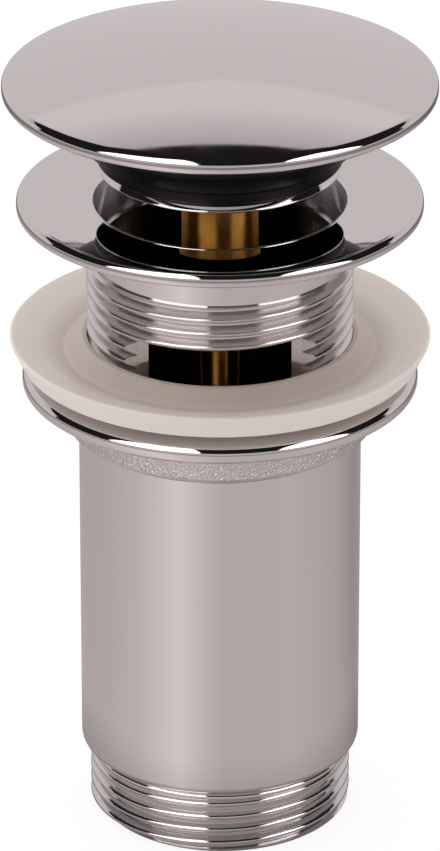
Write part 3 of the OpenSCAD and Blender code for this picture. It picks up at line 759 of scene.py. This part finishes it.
class BASIN_WASTE_OT_tailpiece(Operator):
    """Turns the tailpiece, cuts its outlet thread and leaves the collar as cast"""
    bl_idname = "basin_waste.tailpiece"
    bl_label = "Tailpiece"

    def execute(self, context):
        sizes = context.scene.tail_sizes
        threads = context.scene.thread_sizes
        finishes = context.scene.finishes
        seat = TAIL_HIGH[2]
        flange_r = TAIL_HIGH[0]
        root_r = sizes.thread_r - threads.pipe_depth
        round_z = sizes.thread_len + sizes.end_round
        collar_r = sizes.tube_r + sizes.collar_step
        bevel = sizes.collar_step / 2
        socket_z = seat - sizes.socket_len
        mid_r = sizes.socket_r - sizes.ledge
        floor_z = sizes.thread_len + sizes.floor_len
        shoulder_r = sizes.tube_r - sizes.end_round
        bead = sizes.bead
        edge = 0.0004
        root = 0.001
        outline = [(sizes.bore_r, 0.0), (root_r, 0.0)]
        outline += arc(sizes.thread_r - bead, sizes.thread_len - sizes.bead_drop, bead, -75, 75, 12)
        outline += [(root_r, sizes.thread_len), (shoulder_r, sizes.thread_len)]
        outline += arc(shoulder_r, round_z, sizes.end_round, -80, 0, 14)
        outline += arc(sizes.tube_r + edge, sizes.collar_z - edge, edge, 180, 115, 4)
        outline += arc(collar_r - edge, sizes.collar_z + bevel + edge, edge, -60, 5, 6)
        outline += arc(collar_r + sizes.collar_draft + root, sizes.flange_z - root, root, 180, 90, 6)
        outline += arc(flange_r - sizes.rim_low, sizes.flange_z + sizes.rim_low, sizes.rim_low, -90, 0, 10)
        outline += arc(flange_r - sizes.rim_top, seat - sizes.rim_drop, sizes.rim_top, 0, 70, 16)
        outline += [(sizes.cone_r, seat), (sizes.socket_r, seat), (sizes.socket_r, socket_z),
                    (mid_r, socket_z - sizes.ledge), (mid_r, floor_z + mid_r - sizes.bore_r),
                    (sizes.bore_r, floor_z)]
        tail = turned("tail_tube", outline, steps=256)
        tail.data.materials.append(polished_chrome(finishes, "tail_chrome"))
        tail.data.materials.append(cast_chrome(finishes))
        tail.data.materials.append(bore_shade_brass(finishes, "tail_bore"))
        collar_top = sizes.flange_z + 3 * MARGIN
        for face in tail.data.polygons:
            spot = face.center
            outside = math.hypot(spot.x, spot.y) > sizes.tube_r + 2 * MARGIN
            face.material_index = int(outside and sizes.collar_z < spot.z < collar_top)
        paint_inside(tail, sizes.socket_r + MARGIN, 0.0, seat, 2)
        overlap = 0.0002
        ridge = thread("outlet_thread", sizes.thread_r, threads.pipe_depth, threads.pipe_pitch, 0.0,
                       sizes.thread_len + overlap, steps=threads.turn_steps, chamfer=0.0006)
        ridge.data.materials.append(
            turned_chrome(finishes, "outlet_thread_chrome", roughness=0.11, ring=0.15))
        join(tail, [ridge])
        finish_piece(tail, "tail", ["tailpiece"], [])
        return {"FINISHED"}


class BASIN_WASTE_OT_spring(Operator):
    """Winds the return spring at one length; the real spring shortens as the plug goes down"""
    bl_idname = "basin_waste.spring"
    bl_label = "Return spring"

    def execute(self, context):
        wire_r = 0.0004
        coil_r = SPRING_HIGH[0] - wire_r
        turns = 9
        low = SPRING_LOW[2] + wire_r
        high = SPRING_HIGH[2] - wire_r
        outline = arc(coil_r, low, wire_r, 0, 324, 9)
        spring = wound("coil_spring", outline, (high - low) / turns, turns, 40)
        finish_piece(spring, "waste", ["return_spring"],
                     [spring_steel(context.scene.finishes)], angle=60)
        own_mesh(spring)
        return {"FINISHED"}


class BASIN_WASTE_OT_inserts(Operator):
    """Paints the moulded inserts, the lock nut and the clip"""
    bl_idname = "basin_waste.inserts"
    bl_label = "Inserts and fasteners"

    def execute(self, context):
        finishes = context.scene.finishes
        acetal = acetal_plastic(finishes)
        paint = {"crown": acetal, "latch_ring": acetal, "guide_bush": acetal, "rotor": acetal,
                 "rod_lock_nut": turned_brass(finishes), "rotor_clip": spring_steel(finishes)}
        for name, material in paint.items():
            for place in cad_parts[name].material_slots:
                place.material = material
        return {"FINISHED"}


# Stage

def band(tree, value, limits, soft=0.03):
    """One where an angle lies between two limits in degrees, zero outside; its edges are soft, in radians."""
    low, high = [math.radians(limit) for limit in limits]
    rise = add_node(tree, "ShaderNodeMapRange", value, From_Min=low - soft, From_Max=low + soft,
                    interpolation_type="SMOOTHSTEP")
    fall = add_node(tree, "ShaderNodeMapRange", value, From_Min=high - soft, From_Max=high + soft,
                    To_Min=1.0, To_Max=0.0, interpolation_type="SMOOTHSTEP")
    return add_node(tree, MATH, rise, fall, operation="MULTIPLY")


def ramp(tree, value, low, high, stops):
    """Brightness that runs through the stops, each a place in the range and a level up to two."""
    top_level = 2.0
    spread = add_node(tree, "ShaderNodeMapRange", value, From_Min=low, From_Max=high)
    node = add_node(tree, "ShaderNodeFloatCurve", Value=spread)
    curve = node.mapping.curves[0]
    places = [((place - low) / (high - low), level / top_level) for place, level in stops]
    curve.points[0].location = places[0]
    curve.points[-1].location = places[-1]
    for place in places[1:-1]:
        curve.points.new(*place)
    for point in curve.points:
        point.handle_type = "VECTOR"
    node.mapping.update()
    return add_node(tree, MATH, node, top_level, operation="MULTIPLY")


# Mirrored light of the floor by its direction from the front, and by its distance from the axis in metres
FLOOR_LIGHT = [(math.radians(place), level) for place, level in (
    (-180, 0.4), (-140, 0.52), (-100, 0.6), (-70, 0.69), (-34, 0.91), (-12, 0.71), (4, 0.615), (34, 0.61),
    (60, 0.64), (90, 0.58), (110, 0.53), (135, 0.38), (180, 0.36))]
FLOOR_REACH = [(0.0, 0.5), (0.024, 0.5), (0.05, 1.0), (0.235, 1.0), (0.29, 0.45), (0.5, 0.45), (0.9, 1.0),
               (1.0, 1.0)]
# Distances between which the floor goes over into the back wall
FLOOR_END = (0.35, 0.8)
# Mirrored light of the back wall and of the ceiling's edge, by the rise of the direction over its depth
TOP_RISE = 1.2
WALL_LIGHT = [(0.0, 0.725), (0.56, 0.725), (0.578, 0.8), (TOP_RISE, 0.8)]
CEILING_EDGE = [(0.0, 1.0), (0.75, 1.0), (0.985, 0.71), (1.016, 0.68), (1.024, 0.01), (TOP_RISE, 0.01)]
# How much the wall bends round the sides
WALL_BEND = 0.55
# Limits in degrees, to the side from the front or upwards over the front: the open front between the ends of
# the back wall, the dark column between the panels, the panels, and the front below them
OPEN_FRONT = (-105, 107)
COLUMN_LEAN = (-10.5, 32)
PANEL_SIDES = (-64, 76)
PANEL_RISE = (17, 95)
FRONT_LEAN = (-64, 74)
FRONT_RISE = (-6, 15)
# How much brighter the soft light is from behind, and from the left
BACK_GAIN = 0.6
LEFT_GAIN = 0.2


class BASIN_WASTE_OT_stage(Operator):
    """Sets the floor, the white tent with its dark ceiling, and the camera"""
    bl_idname = "basin_waste.stage"
    bl_label = "Stage"

    def execute(self, context):
        scene = context.scene
        settings = scene.stage_sizes
        scene.view_settings.view_transform = "Standard"
        self.floor(settings)
        self.tent(scene, settings)
        self.camera(scene, settings)
        return {"FINISHED"}

    def floor(self, settings):
        """Pale floor: white to the camera with a faint shadow, lit unevenly where the plating mirrors it."""
        half = settings.floor_size / 2
        thickness = 0.02
        floor = block("floor", (-half, -half, -thickness), (half, half, 0.0))
        material, tree, shader = new_finish("floor_paper", settings.floor_colour, 0.9)
        path = add_node(tree, "ShaderNodeLightPath")
        place = add_node(tree, "ShaderNodeTexCoord")
        split = add_node(tree, "ShaderNodeSeparateXYZ", place.outputs["Object"])
        x, y = split.outputs["X"], split.outputs["Y"]
        forward = add_node(tree, MATH, -settings.light_spread, y, operation="SUBTRACT")
        side = add_node(tree, MATH, x, forward, operation="ARCTAN2")
        pool = ramp(tree, side, -math.pi, math.pi, FLOOR_LIGHT)
        x_squared = add_node(tree, MATH, x, 2.0, operation="POWER")
        y_squared = add_node(tree, MATH, y, 2.0, operation="POWER")
        reach_squared = add_node(tree, MATH, x_squared, y_squared, operation="ADD")
        reach = add_node(tree, MATH, reach_squared, operation="SQRT")
        far = add_node(tree, "ShaderNodeMapRange", reach, From_Min=FLOOR_END[0], From_Max=FLOOR_END[1])
        blend = add_node(tree, "ShaderNodeMix", Factor=far, A=pool, B=WALL_LIGHT[0][1])
        pool = add_node(tree, MATH, blend, ramp(tree, reach, 0.0, 1.0, FLOOR_REACH), operation="MULTIPLY")
        mirrored = add_node(tree, "ShaderNodeEmission", Color=(*settings.floor_tint, 1.0), Strength=pool)
        white = add_node(tree, "ShaderNodeEmission", Color=(1.0, 1.0, 1.0, 1.0), Strength=1.08)
        white_share = 0.8
        to_camera = add_node(tree, MATH, path.outputs["Is Camera Ray"], white_share, operation="MULTIPLY")
        seen = add_node(tree, "ShaderNodeMixShader", to_camera, shader, white)
        surface = add_node(tree, "ShaderNodeMixShader", path.outputs["Is Glossy Ray"], seen, mirrored)
        tree.links.new(surface.outputs["Shader"], tree.nodes["Material Output"].inputs["Surface"])
        floor.data.materials.append(material)

    def tent(self, scene, settings):
        """Soft white light, mirrored as a back wall under a dark ceiling and two front panels."""
        world = bpy.data.worlds.new("tent")
        scene.world = world
        world.use_nodes = True
        tree = world.node_tree
        path = add_node(tree, "ShaderNodeLightPath")
        place = add_node(tree, "ShaderNodeTexCoord")
        split = add_node(tree, "ShaderNodeSeparateXYZ", place.outputs["Generated"])
        x, y, z = [split.outputs[axis] for axis in "XYZ"]
        least_depth = 0.01
        forward = add_node(tree, MATH, y, -1.0, operation="MULTIPLY")
        across = add_node(tree, MATH, x, operation="ABSOLUTE")
        deep = add_node(tree, MATH, y, least_depth, operation="MAXIMUM")
        side = add_node(tree, MATH, x, forward, operation="ARCTAN2")
        lean = add_node(tree, MATH, x, operation="ARCSINE")
        over = add_node(tree, MATH, z, forward, operation="ARCTAN2")
        wall_depth = add_node(tree, MATH, across, WALL_BEND, deep, operation="MULTIPLY_ADD")
        wall_rise = add_node(tree, MATH, z, wall_depth, operation="DIVIDE")
        edge_rise = add_node(tree, MATH, z, deep, operation="DIVIDE")
        wall = add_node(tree, MATH, ramp(tree, wall_rise, 0.0, TOP_RISE, WALL_LIGHT),
                        ramp(tree, edge_rise, 0.0, TOP_RISE, CEILING_EDGE), operation="MULTIPLY")
        behind = add_node(tree, MATH, 1.0, band(tree, side, OPEN_FRONT), operation="SUBTRACT")
        wings = band(tree, side, PANEL_SIDES)
        column = band(tree, lean, COLUMN_LEAN, soft=0.012)
        beside_column = add_node(tree, MATH, 1.0, column, operation="SUBTRACT")
        panels = add_node(tree, MATH, wings, beside_column, operation="MULTIPLY")
        panels = add_node(tree, MATH, panels, band(tree, over, PANEL_RISE), operation="MULTIPLY")
        low_front = add_node(tree, MATH, band(tree, lean, FRONT_LEAN, soft=0.02),
                             band(tree, over, FRONT_RISE), operation="MULTIPLY")
        level = add_node(tree, MATH, wall, behind, operation="MULTIPLY")
        level = add_node(tree, MATH, panels, settings.panel_light, level, operation="MULTIPLY_ADD")
        level = add_node(tree, MATH, low_front, settings.front_light, level, operation="MULTIPLY_ADD")
        level = add_node(tree, MATH, level, settings.dark_light, operation="MAXIMUM")
        graded = add_node(tree, MATH, x, -LEFT_GAIN, 1.0, operation="MULTIPLY_ADD")
        graded = add_node(tree, MATH, y, BACK_GAIN, graded, operation="MULTIPLY_ADD")
        soft = tree.nodes["Background"]
        soft.inputs["Color"].default_value = (1.0, 1.0, 1.0, 1.0)
        tree.links.new(graded.outputs["Value"], soft.inputs["Strength"])
        mirrored = add_node(tree, "ShaderNodeBackground", Color=(*settings.wall_tint, 1.0), Strength=level)
        surface = add_node(tree, "ShaderNodeMixShader", path.outputs["Is Glossy Ray"], soft, mirrored)
        tree.links.new(surface.outputs["Shader"], tree.nodes["World Output"].inputs["Surface"])

    def camera(self, scene, settings):
        """Long lens from the front, a little above."""
        data = bpy.data.cameras.new("camera")
        camera = bpy.data.objects.new("camera", data)
        scene.collection.objects.link(camera)
        data.lens = settings.lens
        data.clip_end = 20.0
        target = Vector((0.0, 0.0, settings.target_z))
        angle = settings.camera_height
        way = Vector((0.0, -math.cos(angle), math.sin(angle)))
        camera.location = target + way * settings.camera_distance
        camera.rotation_euler = way.to_track_quat("Z", "Y").to_euler()
        scene.camera = camera


PIECES = (BASIN_WASTE_OT_cap, BASIN_WASTE_OT_seal, BASIN_WASTE_OT_sleeve, BASIN_WASTE_OT_body,
          BASIN_WASTE_OT_gasket, BASIN_WASTE_OT_tailpiece, BASIN_WASTE_OT_spring, BASIN_WASTE_OT_inserts,
          BASIN_WASTE_OT_stage)
GROUPS = {"plug_sizes": PlugSizes, "body_sizes": BodySizes, "tail_sizes": TailSizes,
          "gasket_sizes": GasketSizes, "thread_sizes": ThreadSizes, "finishes": Finishes,
          "stage_sizes": StageSizes}


class BASIN_WASTE_PT_panel(Panel):
    """Lists the pieces of the basin waste"""
    bl_idname = "BASIN_WASTE_PT_panel"
    bl_label = "Basin waste"
    bl_space_type = "VIEW_3D"
    bl_region_type = "UI"
    bl_category = "Basin waste"

    def draw(self, context):
        for piece in PIECES:
            self.layout.operator(piece.bl_idname)


def register():
    for group in GROUPS.values():
        bpy.utils.register_class(group)
    for cls in PIECES + (BASIN_WASTE_PT_panel,):
        bpy.utils.register_class(cls)
    for name, group in GROUPS.items():
        setattr(bpy.types.Scene, name, PointerProperty(type=group))


def unregister():
    for name in GROUPS:
        delattr(bpy.types.Scene, name)
    for cls in (BASIN_WASTE_PT_panel,) + PIECES[::-1]:
        bpy.utils.unregister_class(cls)
    for group in reversed(list(GROUPS.values())):
        bpy.utils.unregister_class(group)


def main():
    register()
    bpy.ops.basin_waste.cap()
    bpy.ops.basin_waste.seal()
    bpy.ops.basin_waste.sleeve()
    bpy.ops.basin_waste.body()
    bpy.ops.basin_waste.gasket()
    bpy.ops.basin_waste.tailpiece()
    bpy.ops.basin_waste.spring()
    bpy.ops.basin_waste.inserts()
    bpy.ops.basin_waste.stage()


if __name__ == "__main__":
    main()
